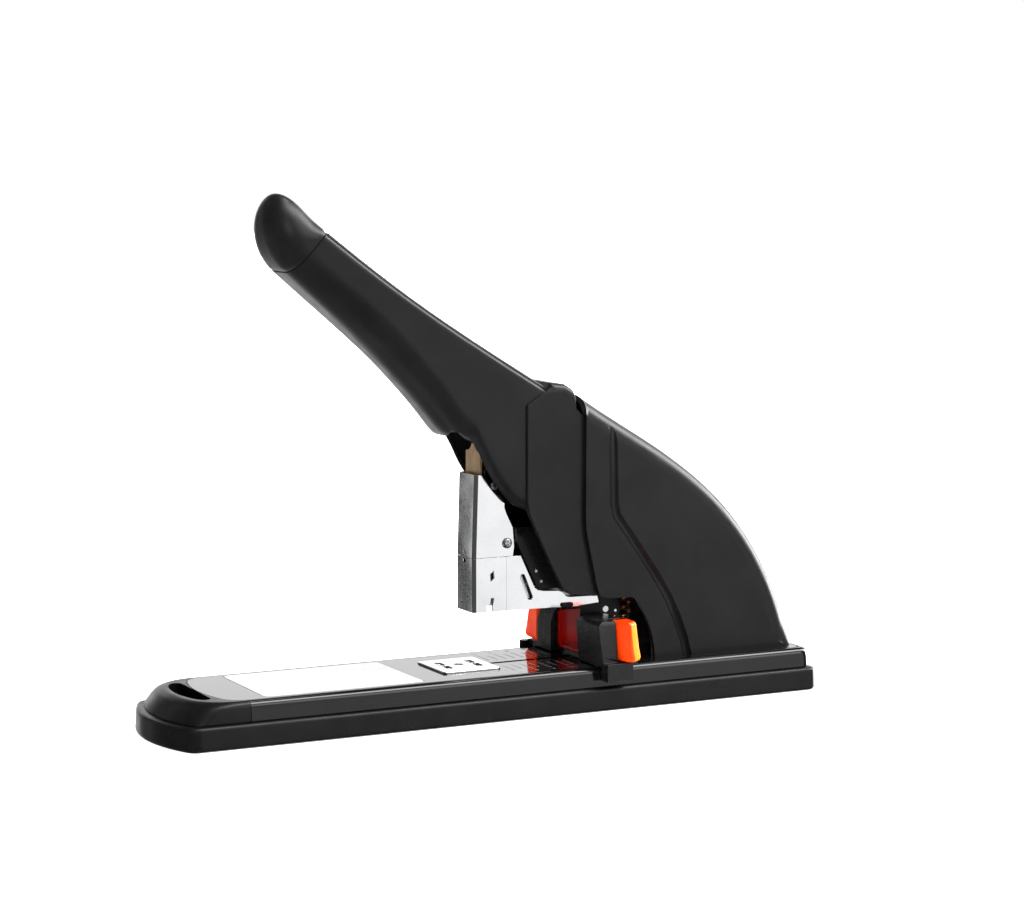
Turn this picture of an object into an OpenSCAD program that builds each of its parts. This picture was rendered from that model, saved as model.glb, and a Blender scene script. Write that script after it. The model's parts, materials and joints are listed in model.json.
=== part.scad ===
// Long-arm heavy-duty desktop stapler.
// Frame: origin under the middle of the base, +Z up, +X to the rear cover, anvil end towards -X.

/* [Base] */
// Length of the base
base_l = 285; // [284:1:300]
// Width of the base shoe
base_w = 63; // [62:0.5:66]
// Width of the base cover
cover_w = 58; // [57:0.5:59]
// Height of the base shoe
shoe_h = 9.5; // [9:0.5:10]
// Height of the whole base
base_h = 17.5; // [17.5:0.1:17.7]

/* [Handle] */
// Width of the handle shell
handle_w = 32.4; // [32:0.2:33]
// Width of the handle collar, which runs inside the rear cover
collar_w = 34; // [33.6:0.1:34.2]

/* [Rear cover] */
// Width of the rear cover
dome_w = 38.4; // [38:0.2:40]

/* [Magazine] */
// Width of the magazine and the driver housing
mag_w = 15.8; // [15.4:0.1:16]
// Width of the driver blade
blade_w = 13; // [12:0.2:13.2]

/* [Paper guide] */
// Width over the two press buttons
guide_w = 75; // [73:0.5:77]

/* [Hidden] */
$fn = 48;

front = -base_l / 2;
rear = base_l / 2;
wall = 2.2;              // plastic wall
shoe_bow = 64;           // radius of the bowed front in plan
cap_front = front + 11;  // front of the nose cap's top
cap_slope = 8;           // how far the nose cap's foot stands ahead of its top
cap_rear = front + 32.5; // seam between nose cap and base cover
deck_front = cap_rear - 11;
roof_z = base_h - 2;     // underside of the base cover's top wall

// Pivots, as [x, z]
handle_hinge = [62, 88];
magazine_hinge = [100, 29];
anvil_x = [-22, 3];
staple_x = -2.6;         // plane of the driver blade
slot_w = 2.6;

// Half-widths of the nested walls, from the middle outwards
mag_in = mag_w / 2 - 1.1;
cheek_in = 9.4;
cheek_out = 11.4;
core_in = 11.9;
core_out = 13.9;
collar_in = collar_w / 2 - wall + 0.1;
dome_in = collar_w / 2 + 0.4;

// ---- helpers ----

// Children drawn in the X-Z plane, extruded between two y values
module side_plate(y0, y1) {
    translate([0, y1, 0]) rotate([90, 0, 0]) linear_extrude(y1 - y0) children();
}
// Children on the +Y side and their mirror image
module both_sides() {
    children();
    mirror([0, 1, 0]) children();
}
// A plate of the child's outline on each side, from half-width a to b
module side_pair(a, b) {
    both_sides() side_plate(a, b) children();
}
module pin_y(x, z, r, half) {
    translate([x, half, z]) rotate([90, 0, 0]) cylinder(r = r, h = 2 * half);
}
module block(x, y, z) {
    translate([x[0], y[0], z[0]]) cube([x[1] - x[0], y[1] - y[0], z[1] - z[0]]);
}
// Plan outline with a bowed front and round rear corners
module plan(x0, x1, w, corner) {
    waist = x0 + shoe_bow - sqrt(shoe_bow * shoe_bow - w * w / 4);
    intersection() {
        translate([x0 + shoe_bow, 0]) circle(r = shoe_bow, $fn = 180);
        translate([x0, -w / 2]) square([waist - x0 + 1, w]);
    }
    translate([waist, -w / 2]) square([x1 - corner - waist, w]);
    translate([x1 - corner - 1, corner - w / 2]) square([corner + 1, w - 2 * corner]);
    for (s = [-1, 1]) translate([x1 - corner, s * (w / 2 - corner)]) circle(r = corner);
}
// Points of a cubic curve, moved sideways by inset (to the right of its direction)
function cubic(p, t) = pow(1 - t, 3) * p[0] + 3 * pow(1 - t, 2) * t * p[1]
    + 3 * (1 - t) * t * t * p[2] + t * t * t * p[3];
function slope(p, t) = 3 * pow(1 - t, 2) * (p[1] - p[0]) + 6 * (1 - t) * t * (p[2] - p[1])
    + 3 * t * t * (p[3] - p[2]);
function right_of(d) = [d[1], -d[0]] / norm(d);
function curve(p, n, inset = 0) =
    [for (i = [0:n]) cubic(p, i / n) + inset * right_of(slope(p, i / n))];
function tail(points) = [for (i = [1:len(points) - 1]) points[i]];
// Point inset from the curve's start or end (t is 0 or 1) and run out past it by d
function run_out(p, t, inset, d) =
    cubic(p, t) + inset * right_of(slope(p, t)) + d * slope(p, t) / norm(slope(p, t));

// ---- profiles in the X-Z plane ----

dome_line = [[38.5, 125.3], [71.9, 102], [121.3, 86.4], [138, base_h]];
handle_top = [[-71.5, 193.1], [-45, 173], [-34, 164], [20.5, 131.2]];
handle_under = [[-19.6, 111.2], [-43.2, 139.1], [-62.2, 154.3], [-86.8, 176.2]];
tip_top = [[-71.5, 193.1], [-80, 199.6], [-85, 209.5], [-90, 206.5]];
tip_end = [[-90, 206.5], [-97, 202], [-98.5, 186], [-86.8, 176.2]];

module dome_profile() {
    polygon(concat([[44.2, 45.1], [38.2, 73]], curve(dome_line, 20),
        [[138, base_h], [70.4, base_h], [68.5, 28.9], [62.1, 41.6], [60.8, 43.3], [48.4, 43.7]]));
}
module shell_profile() {
    polygon(concat(curve(handle_top, 14),
        [[22, 130.3], [21.4, 128.5], [12.7, 123.5], [12.7, 80], [2.3, 87.3], [-3.7, 95.5],
         [-8, 105], [-11, 109.3]],
        curve(handle_under, 12)));
}
module tip_profile() {
    polygon(concat(curve(tip_top, 6), tail(curve(tip_end, 8))));
}
// Inside of the end cap, open towards the handle
module tip_cavity() {
    polygon(concat([run_out(tip_top, 0, -wall, -4)], curve(tip_top, 6, -wall),
        tail(curve(tip_end, 8, -wall)), [run_out(tip_end, 1, -wall, 4)]));
}
collar_top = [[12.8, 123.3], [21.5, 128.4], [24.2, 131.8], [30.5, 131], [34.2, 128.7]];
module collar_profile() {
    polygon(concat(collar_top,
        [[35, 121], [44, 113.5], [62, 103], [76, 89], [68, 66], [58, 50], [50, 45],
         [43.6, 44.6], [33.2, 45.7], [29, 48.3], [23.5, 58.5], [13.8, 79.6], [12.8, 85]]));
}
core_top = [[-60, 177.5], [-30, 157], [-2, 136], [12, 119.5], [40, 114]];
module core_profile() {
    difference() {
        union() {
            polygon(concat(core_top, [[56, 104], [73, 92], [73, 84], [64, 76], [50, 74],
                [30, 86], [8, 98], [-12, 117], [-40, 143], [-60, 163]]));
            translate(handle_hinge) circle(r = 13);
        }
        translate(handle_hinge) circle(r = 4.05);
    }
}
mag_under = [[8, 40], [50, 39.1], [57.5, 41.6], [72, 41.6], [88, 30], [100, 22]];
mag_pin = [53, 37.4];
module magazine_profile() {
    difference() {
        union() {
            polygon(concat(mag_under, [[107, 29], [100, 36], [80, 48], [66, 50.6], [64.9, 50],
                [64.9, 46], [52, 43.2], [35.3, 43.6], [31.7, 46.4], [21.2, 47.4],
                [14.6, 61.9], [8, 61.9]]));
            translate(mag_pin) circle(r = 3.2);
        }
        translate(magazine_hinge) circle(r = 3.05);
        translate(mag_pin) circle(r = 1.6);
        translate([17.1, 48.9]) rotate(-22) {
            translate([-1.15, -4.7]) square([2.3, 9.4]);
            for (s = [-1, 1]) translate([0, s * 4.7]) circle(r = 1.15);
        }
    }
}

// ---- base ----

boss_spots = [for (x = [-98, -30, 40, 132], s = [-1, 1]) [x, s * 22]];
foot_spots = [for (x = [-112, 112], s = [-1, 1]) [x, s * 14]];
frame_spots = [for (x = [82, 116], s = [-1, 1]) [x, s * 5]];
cover_spots = [for (s = [-1, 1]) [129, s * 9]];
anvil_spots = [for (s = [-1, 1]) [(anvil_x[0] + anvil_x[1]) / 2, s * 9.5]];

module at(spots, z) {
    for (p = spots) translate([p[0], p[1], z]) children();
}
module screw(head_r, head_h, shank_r, length) {
    cylinder(r = head_r, h = head_h);
    cylinder(r = shank_r, h = length);
}

module base_shoe() {
    color("#1c1c1d") difference() {
        union() {
            difference() {
                linear_extrude(shoe_h) plan(front, rear, base_w, 4);
                translate([0, 0, wall]) linear_extrude(shoe_h)
                    plan(cap_front + 2.4, rear - 4, cover_w - 4, 3);
            }
            at(boss_spots, 1) cylinder(r = 4, h = shoe_h - 1);
        }
        at(boss_spots, -1) cylinder(r = 1.6, h = shoe_h + 2);
        at(boss_spots, -1) cylinder(r = 3.3, h = 3.6);
        at(foot_spots, -1) translate([-11, -5, 0]) cube([22, 10, 2.2]);
    }
}
module foot_pads() {
    color("#2b2b2b") at(foot_spots, 0) translate([-10.8, -4.8, 0]) cube([21.6, 9.6, 1.2]);
}
module base_screws() {
    color("#9a9a9a") at(boss_spots, 0.8) screw(3, 1.8, 1.45, 13);
}
module base_plate() {
    color("#8c8f92") difference() {
        block([front + 23, rear - 6], [-26.5, 26.5], [wall, 4.7]);
        at(boss_spots, 0) cylinder(r = 4.3, h = 6);
        at(concat(frame_spots, cover_spots, anvil_spots), 0) cylinder(r = 1.85, h = 6);
    }
}
module deck_openings() {
    block([anvil_x[0] - 0.2, anvil_x[1] + 0.2], [-13.2, 13.2], [0, base_h + 1]);
    block([anvil_x[1], 66], [-slot_w / 2, slot_w / 2], [0, base_h + 1]);
    both_sides() block([73.5, 123], [cheek_in - 0.3, cheek_out + 0.3], [0, base_h + 1]);
    block([-102.2, -34.8], [-23.2, 23.2], [base_h - 0.3, base_h + 1]);
}
module base_cover() {
    color("#141416") difference() {
        union() {
            difference() {
                union() {
                    translate([0, 0, shoe_h]) linear_extrude(base_h - shoe_h)
                        plan(deck_front, rear - 20, cover_w - 8, 2);
                    translate([0, 0, shoe_h]) linear_extrude(base_h - shoe_h)
                        block_plan(cap_rear, rear - 1.5, cover_w, 5);
                }
                translate([0, 0, shoe_h - 1]) linear_extrude(roof_z - shoe_h + 1)
                    block_plan(cap_rear + wall, rear - 1.5 - wall, cover_w - 2 * wall, 3);
            }
            at(boss_spots, shoe_h) cylinder(r = 3.8, h = base_h - shoe_h - 1);
        }
        deck_openings();
        at(boss_spots, shoe_h - 1) cylinder(r = 1.5, h = 6.2);
        at(cover_spots, 0) cylinder(r = 1.85, h = base_h + 1);
    }
}
// Plan outline with a straight front and round rear corners
module block_plan(x0, x1, w, corner) {
    translate([x0, -w / 2]) square([x1 - corner - x0, w]);
    translate([x1 - corner - 1, corner - w / 2]) square([corner + 1, w - 2 * corner]);
    for (s = [-1, 1]) translate([x1 - corner, s * (w / 2 - corner)]) circle(r = corner);
}
module nose_cap() {
    slot_bow = 40;
    color("#1a1a1b") difference() {
        intersection() {
            translate([cap_front - cap_slope + shoe_bow, 0, shoe_h])
                cylinder(r1 = shoe_bow, r2 = shoe_bow - cap_slope, h = base_h - shoe_h, $fn = 180);
            block([front, cap_rear], [-cover_w / 2, cover_w / 2], [shoe_h, base_h]);
        }
        translate([0, 0, shoe_h - 1]) linear_extrude(base_h)
            plan(deck_front, rear - 20, cover_w - 8, 2);
        linear_extrude(base_h + 1) intersection() {
            translate([cap_front + 2 + slot_bow, 0]) circle(r = slot_bow, $fn = 120);
            translate([cap_front + 1, -17]) square([7.8, 34]);
        }
    }
}
module label_plate() {
    color("#e9e9e6") block([-102, -35], [-23, 23], [base_h - 0.3, base_h + 0.1]);
}
module anvil_plate() {
    top = base_h + 0.8;
    middle = (anvil_x[0] + anvil_x[1]) / 2;
    groove_r = 4;
    color("#d7d9db") difference() {
        block(anvil_x, [-13, 13], [base_h - 4.5, top]);
        for (gx = [-6.7, 6.7], s = [-1, 1])
            translate([middle + gx - 1.5, s * 3.6, top + 2.8]) rotate([0, 90, 0])
                cylinder(r = groove_r, h = 3);
        at(anvil_spots, 0) cylinder(r = 1.5, h = base_h - 1.5);
    }
}
module anvil_block() {
    color("#85888b") difference() {
        block([anvil_x[0] + 1, anvil_x[1] - 1], [-12.5, 12.5], [4.7, base_h - 4.5]);
        at(anvil_spots, 0) cylinder(r = 1.5, h = base_h);
    }
}
module anvil_screws() {
    color("#9a9a9a") at(anvil_spots, 2.4) cylinder(r = 1.45, h = base_h - 5);
}

// ---- frame and rear cover ----

module frame_cheeks() {
    color("#7d8083") difference() {
        union() {
            side_pair(cheek_in, cheek_out) {
                polygon([[74, 4.7], [122, 4.7], [118, 36], [74, 95], [54, 95], [52, 80],
                    [74, 44]]);
                translate(handle_hinge) circle(r = 11);
            }
            block([74, 122], [-cheek_in, cheek_in], [4.7, 6.7]);
        }
        pin_y(handle_hinge[0], handle_hinge[1], 4.03, 20);
        pin_y(magazine_hinge[0], magazine_hinge[1], 3.03, 20);
        at(frame_spots, 0) cylinder(r = 1.85, h = 10);
    }
}
module frame_screws() {
    color("#9a9a9a") {
        at(frame_spots, 2.4) cylinder(r = 1.8, h = 5.4);
        at(frame_spots, 6.7) cylinder(r = 3.2, h = 1.8);
    }
}
module rear_cover() {
    color("#242425") difference() {
        union() {
            difference() {
                side_plate(-dome_w / 2, dome_w / 2) dome_profile();
                side_plate(-dome_in, dome_in) dome_cavity();
            }
            at(cover_spots, base_h) cylinder(r = 4, h = 14);
        }
        at(cover_spots, base_h - 1) cylinder(r = 1.5, h = 12);
    }
}
// Space inside the rear cover, open at the front, the arch and the bottom
module dome_cavity() {
    polygon(concat([[30, 40], [30, 128]], curve(dome_line, 20, 2.4),
        [[135.6, base_h - 1], [60, base_h - 1]]));
}
module cover_screws() {
    color("#9a9a9a") at(cover_spots, 2.4) cylinder(r = 1.45, h = 24);
}
module handle_pin() {
    color("#b9bcbe") pin_y(handle_hinge[0], handle_hinge[1], 4, core_out + 0.8);
}
module magazine_pivot_pin() {
    color("#b9bcbe") pin_y(magazine_hinge[0], magazine_hinge[1], 3, cheek_out + 1.4);
}
module ring(hinge, y, shaft_r, r, t) {
    translate([hinge[0], y, hinge[1]]) rotate([-90, 0, 0]) difference() {
        cylinder(r = r, h = t);
        translate([0, 0, -1]) cylinder(r = shaft_r, h = t + 2);
    }
}
module retaining_rings() {
    color("#6d6f72") both_sides() {
        ring(handle_hinge, core_out + 0.1, 4, 6, 0.6);
        ring(magazine_hinge, cheek_out + 0.1, 3, 5, 0.9);
    }
}
// Close-wound coil round a hinge pin
module handle_spring() {
    wire_r = 1.1;
    color("#a9abad") for (i = [-3:3])
        translate([handle_hinge[0], i * 2 * wire_r, handle_hinge[1]]) rotate([90, 0, 0])
            rotate_extrude() translate([6.2, 0]) circle(r = wire_r + 0.05, $fn = 16);
}
lift_x = 66;
module lift_spring() {
    wire_r = 0.7;
    turns = 15;
    pitch = (41.4 - base_h - 2 * wire_r) / (turns - 1);
    color("#b0703f") for (i = [0:turns - 1])
        translate([lift_x, 0, base_h + wire_r + i * pitch])
            rotate_extrude() translate([3.2, 0]) circle(r = wire_r, $fn = 16);
}

// ---- handle ----

module handle_shell() {
    half = handle_w / 2;
    color("#222223") difference() {
        side_plate(-half, half) shell_profile();
        side_plate(-half + wall, half - wall) shell_cavity();
        inlay_strip(0);
        both_sides() handle_screw_shapes(1.35, 2.7);
    }
}
// Inside of the handle: roofed, floored up to the lip, open below behind it
module shell_cavity() {
    polygon(concat([run_out(handle_top, 0, wall, -4)], curve(handle_top, 14, wall),
        [[30, 70], [-2, 70], [-13, 100], [-17.4, 107]],
        curve(handle_under, 12, wall), [run_out(handle_under, 1, wall, 4)]));
}
module inlay_strip(gap) {
    side_plate(-11 + gap, 11 - gap) polygon(concat(
        [for (i = [1:12]) cubic(handle_top, i / 14) + [0, 0.2 - 2 * gap]],
        [for (i = [12:-1:1]) cubic(handle_top, i / 14) - [0, 1.2 - gap]]));
}
module handle_inlay() {
    color("#2c2c2d") inlay_strip(0.1);
}
module handle_cap() {
    half = handle_w / 2;
    color("#1f1f20") difference() {
        side_plate(-half, half) tip_profile();
        side_plate(-half + wall, half - wall) tip_cavity();
    }
}
module handle_collar() {
    color("#232324") {
        side_pair(collar_in, collar_w / 2) difference() {
            collar_profile();
            translate(handle_hinge) circle(r = 7);
        }
        side_plate(-collar_in, collar_in)
            polygon(concat(collar_top, [for (i = [4:-1:0]) collar_top[i] - [0, wall]]));
    }
}
module handle_core() {
    color("#6a6d70") {
        difference() {
            side_pair(core_in, core_out) core_profile();
            both_sides() handle_screw_shapes(1.35, 2.7);
        }
        side_plate(-core_in, core_in)
            polygon(concat(core_top, [for (i = [4:-1:0]) core_top[i] - [0, 2]]));
    }
}
screw_spots = [[-50, 163], [-8, 130]];
// Screws from inside, through the steel core into the shell wall, on the +Y side
module handle_screw_shapes(shank_r, head_r) {
    for (p = screw_spots) {
        translate([p[0], core_in - 1.5, p[1]]) rotate([-90, 0, 0]) cylinder(r = head_r, h = 1.5);
        translate([p[0], core_in - 1, p[1]]) rotate([-90, 0, 0]) cylinder(r = shank_r, h = 4.4);
    }
}
module handle_screws() {
    color("#9a9a9a") both_sides() handle_screw_shapes(1.3, 2.6);
}
// Tongue that bears on the driver blade and follows it as the handle swings
module press_shoe() {
    color("#8c8f92") {
        side_plate(-6.1, 6.1) polygon([[4, 107.9], [-2.2, 107.9], [-3.2, 108.3], [-5, 109.7],
            [-7, 111.5], [-8.2, 112.9], [-9.2, 114.4], [-9.4, 124], [4, 124]]);
        side_plate(-core_in, core_in) polygon([[-9.4, 122.5], [4, 122.5], [4, 126], [-9.4, 126]]);
    }
}

// ---- magazine ----

module magazine_channel() {
    color("#cfd1d3") {
        side_pair(mag_in, mag_w / 2) magazine_profile();
        side_plate(-mag_in, mag_in) polygon(concat([for (i = [0:4]) mag_under[i]],
            [for (i = [4:-1:0]) mag_under[i] + [0, 1.1]]));
    }
}
module magazine_head() {
    outline = [[-6.8, 40], [8, 40], [8, 61.9], [-6.8, 61.9]];
    color("#d9dadb") {
        side_pair(mag_in, mag_w / 2) difference() {
            polygon(outline);
            translate([-0.6, 39]) square([2.2, 5.5]);
        }
        difference() {
            block([-6.8, -5.6], [-mag_in, mag_in], [40, 61.9]);
            translate([-8, 3.4, 44]) rotate([0, 90, 0]) cylinder(r = 0.9, h = 4);
        }
    }
}
module driver_housing() {
    outline = [[-6.8, 62], [10.8, 62], [11.5, 65.7], [10.8, 73.5], [7.2, 80.5], [7.2, 86.3],
        [2.6, 94], [-0.9, 95.4], [-5.8, 95.4]];
    color("#dcdddf") {
        side_pair(mag_in, mag_w / 2) difference() {
            polygon(outline);
            for (p = housing_spots) translate(p) circle(r = 1.2);
        }
        side_plate(-mag_in, mag_in)
            polygon([[-6.8, 62], [-6, 62], [-5, 95.4], [-5.8, 95.4]]);
    }
}
housing_spots = [[8.3, 67.4], [2.2, 90.6]];
module housing_screws() {
    color("#b3b5b7") both_sides() for (p = housing_spots) {
        translate([p[0], mag_w / 2, p[1]]) rotate([-90, 0, 0]) cylinder(r = 2.1, h = 1.1);
        translate([p[0], mag_in, p[1]]) rotate([-90, 0, 0]) cylinder(r = 1.15, h = 1.3);
    }
}
module magazine_cover() {
    outline = [[14.9, 62.2], [11.7, 69], [12, 72], [13.4, 73.4], [22, 73.2], [40, 69],
        [64, 60], [64, 46.5], [52, 44], [36, 44.4], [32, 47], [21.5, 48]];
    color("#19191a") {
        side_pair(mag_in, mag_w / 2 + 0.9) polygon(outline);
        side_pair(mag_w / 2, mag_w / 2 + 0.5) difference() {
            polygon([[52, 46], [49.6, 44.1], [50.6, 39.9], [41.5, 38.7], [41.5, 36.6],
                [50.6, 36.6], [52.2, 34.4], [59, 34.4],
                [60.2, 36], [60.2, 41.2], [64, 41.6], [64, 47]]);
            translate(mag_pin) circle(r = 1.6);
        }
        side_plate(-mag_in, mag_in) polygon([[11.8, 70.5], [13.4, 73.4], [22, 73.2], [40, 69],
            [64, 60], [64, 58], [40, 67], [22, 71], [13.4, 71.2], [11.7, 69]]);
    }
}
module magazine_pin() {
    color("#d0d2d4") pin_y(mag_pin[0], mag_pin[1], 1.55, mag_w / 2 + 0.8);
}
rail_y = 4.8;
module staple_rail() {
    color("#94979a") side_pair(rail_y - 1, rail_y) polygon([[-1.9, 42], [55, 42], [55, 56],
        [-1.9, 56]]);
    color("#94979a") block([-1.9, 55], [1 - rail_y, rail_y - 1], [55, 56]);
}
module staple_strip() {
    color("#c4c6c8") {
        side_pair(rail_y + 0.4, rail_y + 1.1) polygon([[-1.8, 44], [22, 44], [22, 57.2],
            [-1.8, 57.2]]);
        block([-1.8, 22], [-rail_y - 0.4, rail_y + 0.4], [56.4, 57.2]);
    }
}
module staple_pusher() {
    color("#303133") {
        side_pair(rail_y + 0.3, rail_y + 1.4) polygon([[22, 47.2], [34, 47.2], [34, 57.6],
            [22, 57.6]]);
        block([22, 34], [-rail_y - 0.3, rail_y + 0.3], [56.3, 57.6]);
    }
}
// Spring inside the hollow rail
module pusher_spring() {
    wire_r = 0.4;
    color("#a9abad") for (i = [0:23])
        translate([8 + i * 2 * wire_r, 0, 49]) rotate([0, 90, 0])
            rotate_extrude() translate([2.6, 0]) circle(r = wire_r + 0.03, $fn = 14);
}
module driver_blade() {
    half = blade_w / 2;
    color("#b79a72") translate([staple_x - 0.5, 0, 0]) rotate([90, 0, 90]) linear_extrude(1)
        polygon([[-half, 58], [half, 58], [half, 104.2], [3, 104.6], [0.8, 107.6],
            [-0.8, 107.6], [-3, 104.6], [-half, 104.2]]);
}

// ---- paper guide ----

guide_mid = 46.5;        // the two halves are alike, one turned round about this x
tower_in = 11;
tower_out = 30;
clip_out = 35;
button_l = 7.9;
pocket_in = 23.2;
foot_z = base_h + 0.3;   // underside of the slide, clear of the base cover

// Children on the -Y side, and again turned half a turn about the guide's middle
module half_turned() {
    children();
    far_side() children();
}
module far_side() {
    translate([2 * guide_mid, 0, 0]) rotate([0, 0, 180]) children();
}
module guide_half() {
    difference() {
        union() {
            side_plate(-tower_out, -tower_in) polygon([[39.2, foot_z], [55, foot_z], [55, 33],
                [51.5, 36], [39.6, 36], [38, 34.5]]);
            side_plate(-clip_out, -cover_w / 2 - 0.4)
                polygon([[39.7, 12.4], [51, 12.4], [51.4, 19.6], [39.7, 19.6]]);
            block([39.7, 51.4], [-cover_w / 2 - 1, -cover_w / 2 + 1], [foot_z, 19.6]);
        }
        block([guide_mid - 0.3, 60], [-40, -pocket_in], [19.8, 40]);
        translate([guide_mid + button_l / 2, -19.5, 28]) rotate([90, 0, 0])
            cylinder(r = 2, h = 5);
    }
}
module guide_body() {
    color("#161617") {
        half_turned() guide_half();
        block([41, 52], [-tower_in, tower_in], [foot_z, foot_z + 2]);
        block([34.8, 42], [31, clip_out], [15.8, 19.4]);
    }
}
module guide_core() {
    color("#7d0f0a") {
        block([41, 52], [-10.8, 10.8], [foot_z + 2, foot_z + 3.5]);
        both_sides() block([41, 52], [8.8, 10.9], [foot_z + 2, 35.5]);
    }
}
module guide_runner() {
    color("#8c8f92") {
        block([43, 50], [-1.1, 1.1], [roof_z - 1.6, foot_z]);
        block([40, 53], [-6, 6], [roof_z - 2.4, roof_z - 0.3]);
    }
}
module guide_springs() {
    wire_r = 0.35;
    color("#a9abad") half_turned() for (i = [0:3])
        translate([guide_mid + button_l / 2, -20.2 - i * 2 * wire_r, 28]) rotate([90, 0, 0])
            rotate_extrude() translate([1.4, 0]) circle(r = wire_r + 0.03, $fn = 14);
}
// Press button on the -Y side
module guide_button_left() {
    out = guide_w / 2;
    color("#ff4a12") translate([guide_mid, 0, 0]) mirror([0, 1, 0]) rotate([90, 0, 90])
        linear_extrude(button_l)
            polygon([[pocket_in + 2.3, 20.1], [out + 1, 20.1], [out + 0.6, 23],
                [out - 1.4, 28], [out - 2, 35], [out - 3, 36], [pocket_in + 2.3, 36]]);
}
module guide_button_right() {
    far_side() guide_button_left();
}

base_shoe();
base_plate();
base_cover();
nose_cap();
label_plate();
foot_pads();
base_screws();
anvil_plate();
anvil_block();
anvil_screws();
frame_cheeks();
frame_screws();
rear_cover();
cover_screws();
handle_pin();
magazine_pivot_pin();
retaining_rings();
handle_spring();
lift_spring();
handle_shell();
handle_cap();
handle_inlay();
handle_collar();
handle_core();
handle_screws();
press_shoe();
magazine_channel();
magazine_head();
magazine_cover();
magazine_pin();
driver_housing();
housing_screws();
staple_rail();
staple_strip();
pusher_spring();
staple_pusher();
driver_blade();
guide_body();
guide_core();
guide_runner();
guide_springs();
guide_button_left();
guide_button_right();
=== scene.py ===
"""Looks of the long-arm desktop stapler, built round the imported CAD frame."""
import json
import math

import bmesh
import bpy
from mathutils import Matrix, Vector


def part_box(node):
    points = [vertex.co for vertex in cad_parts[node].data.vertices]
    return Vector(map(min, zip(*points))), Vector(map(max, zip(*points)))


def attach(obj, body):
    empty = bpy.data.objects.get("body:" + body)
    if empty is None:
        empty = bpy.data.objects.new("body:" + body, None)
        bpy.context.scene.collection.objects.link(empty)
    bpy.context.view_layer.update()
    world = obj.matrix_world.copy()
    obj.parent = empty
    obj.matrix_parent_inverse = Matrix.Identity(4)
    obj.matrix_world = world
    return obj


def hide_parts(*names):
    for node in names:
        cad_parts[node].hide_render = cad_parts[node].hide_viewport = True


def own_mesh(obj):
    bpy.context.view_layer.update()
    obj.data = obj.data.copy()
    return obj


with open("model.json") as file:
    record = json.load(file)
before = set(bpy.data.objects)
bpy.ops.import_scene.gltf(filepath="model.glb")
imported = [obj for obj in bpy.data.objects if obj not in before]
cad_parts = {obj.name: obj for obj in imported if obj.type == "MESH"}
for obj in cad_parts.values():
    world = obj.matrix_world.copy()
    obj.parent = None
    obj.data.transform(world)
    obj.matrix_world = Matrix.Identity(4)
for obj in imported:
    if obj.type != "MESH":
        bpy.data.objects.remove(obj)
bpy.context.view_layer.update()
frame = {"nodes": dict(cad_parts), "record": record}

MM = 0.001


# ---- datums, in mm

def box_mm(node):
    """Lowest and highest corner of a CAD node, in millimetres."""
    low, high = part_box(node)
    return low / MM, high / MM


shoe_lo, shoe_hi = box_mm("base_shoe")
deck_lo, deck_hi = box_mm("base_cover")
nose_lo, nose_hi = box_mm("nose_cap")
label_lo, label_hi = box_mm("label_plate")
anvil_lo, anvil_hi = box_mm("anvil_plate")
head_lo, head_hi = box_mm("magazine_head")
housing_lo, housing_hi = box_mm("driver_housing")
blade_lo, blade_hi = box_mm("driver_blade")
lift_lo, lift_hi = box_mm("lift_spring")
button_lo, button_hi = box_mm("guide_button_right")
pin_lo, pin_hi = box_mm("magazine_pin")
button_in, button_out = button_lo.y - 2.3, button_hi.y

SHOE_Z = shoe_hi.z
DECK_Z = deck_hi.z
DECK_HALF = deck_hi.y
NOSE_SEAM = nose_hi.x
TONGUE_FRONT = deck_lo.x
HANDLE_HALF = box_mm("handle_shell")[1].y
COLLAR_HALF = box_mm("handle_collar")[1].y
DOME_HALF = box_mm("rear_cover")[1].y
MAG_HALF = head_hi.y
HOOD_HALF = box_mm("magazine_cover")[1].y
WALL = 2.2    # plastic wall
BOW = 64.0    # radius of the bowed front in plan


# ---- curves

def cubic(points, t):
    a, b, c, d = (Vector(p) for p in points)
    s = 1 - t
    return a * s ** 3 + b * 3 * s * s * t + c * 3 * s * t * t + d * t ** 3


def arc(cx, cy, r, start, end, n):
    """Points of an arc from angle start to end, in degrees."""
    steps = [math.radians(start + (end - start) * i / n) for i in range(n + 1)]
    return [(cx + r * math.cos(a), cy + r * math.sin(a)) for a in steps]


def quarter(n, first=0):
    """Angles from 0 to a right angle in n steps."""
    return [math.pi / 2 * i / n for i in range(first, n + 1)]


def circle(n):
    return [2 * math.pi * i / n for i in range(n)]


def along(points, share):
    """The point at a share of a polyline's length."""
    points = [Vector(p) for p in points]
    spans = [(b - a).length for a, b in zip(points, points[1:])]
    left = share * sum(spans)
    for a, b, span in zip(points, points[1:], spans):
        if left <= span:
            return a.lerp(b, left / span if span else 0)
        left -= span
    return points[-1]


def ramp(x, knots):
    """Piecewise-linear map through (x, y) knots."""
    for (x0, y0), (x1, y1) in zip(knots, knots[1:]):
        if x <= x1:
            return y0 + (y1 - y0) * (x - x0) / (x1 - x0)
    return knots[-1][1]


# ---- mesh helpers

def new_object(name, data):
    obj = bpy.data.objects.new(name, data)
    bpy.context.scene.collection.objects.link(obj)
    return obj


def edit(mesh, change):
    """Runs change on a mesh, and turns its faces outward."""
    bm = bmesh.new()
    bm.from_mesh(mesh)
    change(bm)
    bmesh.ops.recalc_face_normals(bm, faces=bm.faces)
    bm.to_mesh(mesh)
    bm.free()


def mesh_object(name, verts, faces):
    mesh = bpy.data.meshes.new(name)
    mesh.from_pydata([Vector(v) * MM for v in verts], [], faces)
    edit(mesh, lambda bm: bmesh.ops.remove_doubles(bm, verts=bm.verts, dist=2e-7))
    return new_object(name, mesh)


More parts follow.
